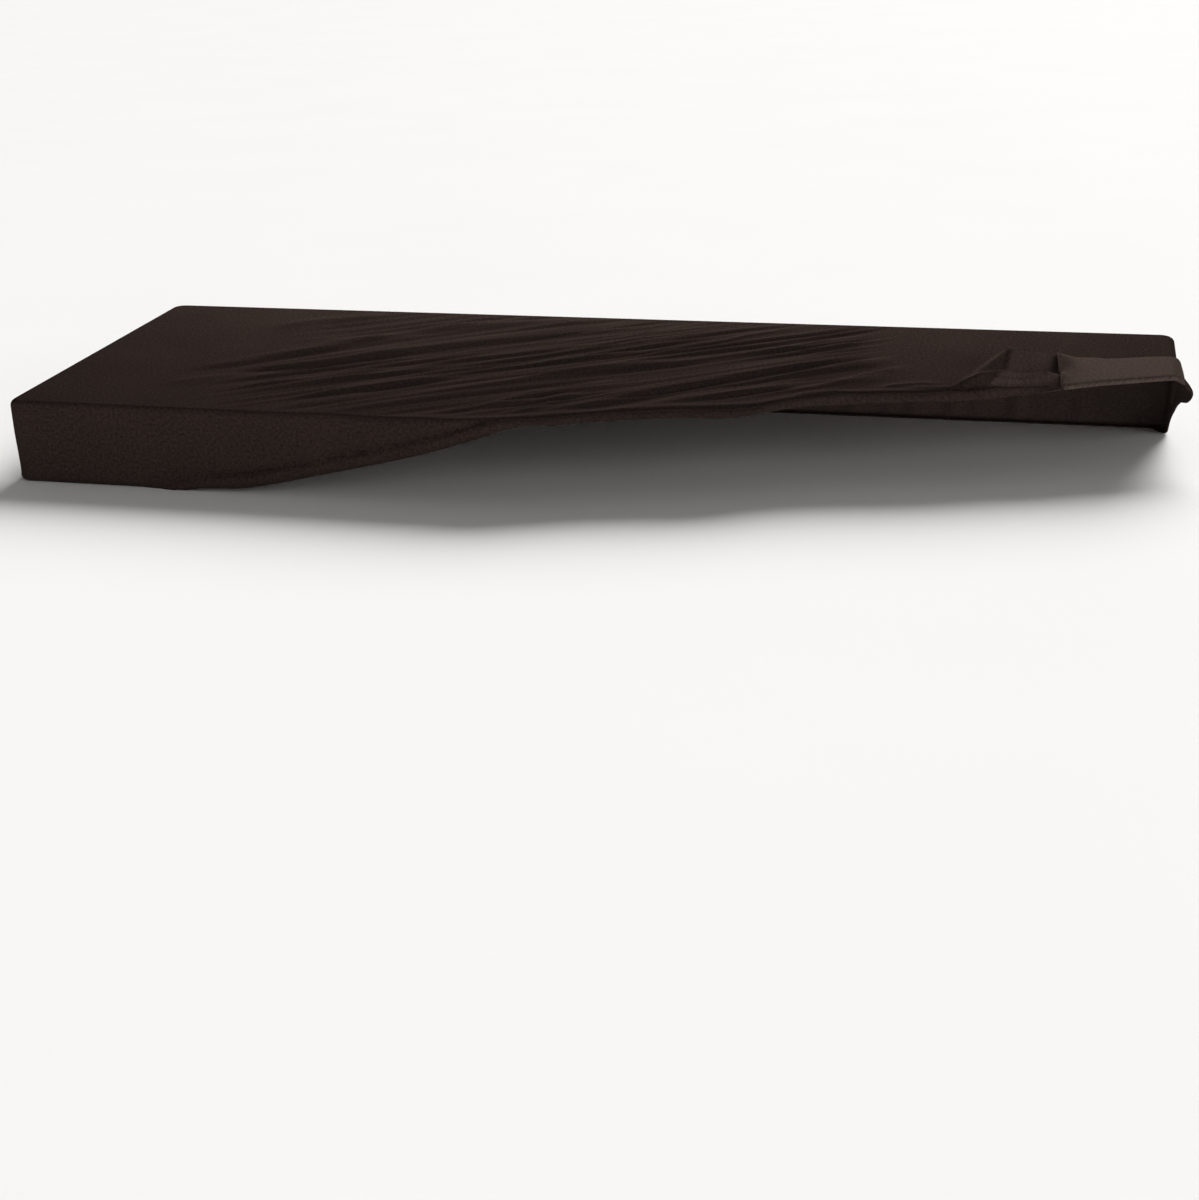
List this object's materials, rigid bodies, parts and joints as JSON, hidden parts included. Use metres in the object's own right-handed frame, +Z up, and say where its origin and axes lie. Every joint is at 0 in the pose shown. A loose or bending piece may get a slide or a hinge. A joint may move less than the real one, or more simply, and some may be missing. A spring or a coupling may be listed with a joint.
{
  "type": "keyboard dust cover",
  "caption": "Fitted stretch-knit dust cover for a long keyboard, hollow and open below, with an elastic hem that climbs the front and is turned back at one corner.",
  "frame": {"origin": "middle of the underside of the top, where the covered thing holds the cloth up", "axes": "+X along the cover's length, +Y from its front to its back, +Z up"},
  "size_m": [1.0625, 0.3608, 0.1043],
  "materials": {
    "knit": "matte stretch knit"
  },
  "bodies": {
    "root": {"cover": "knit"}
  },
  "joints": []
}
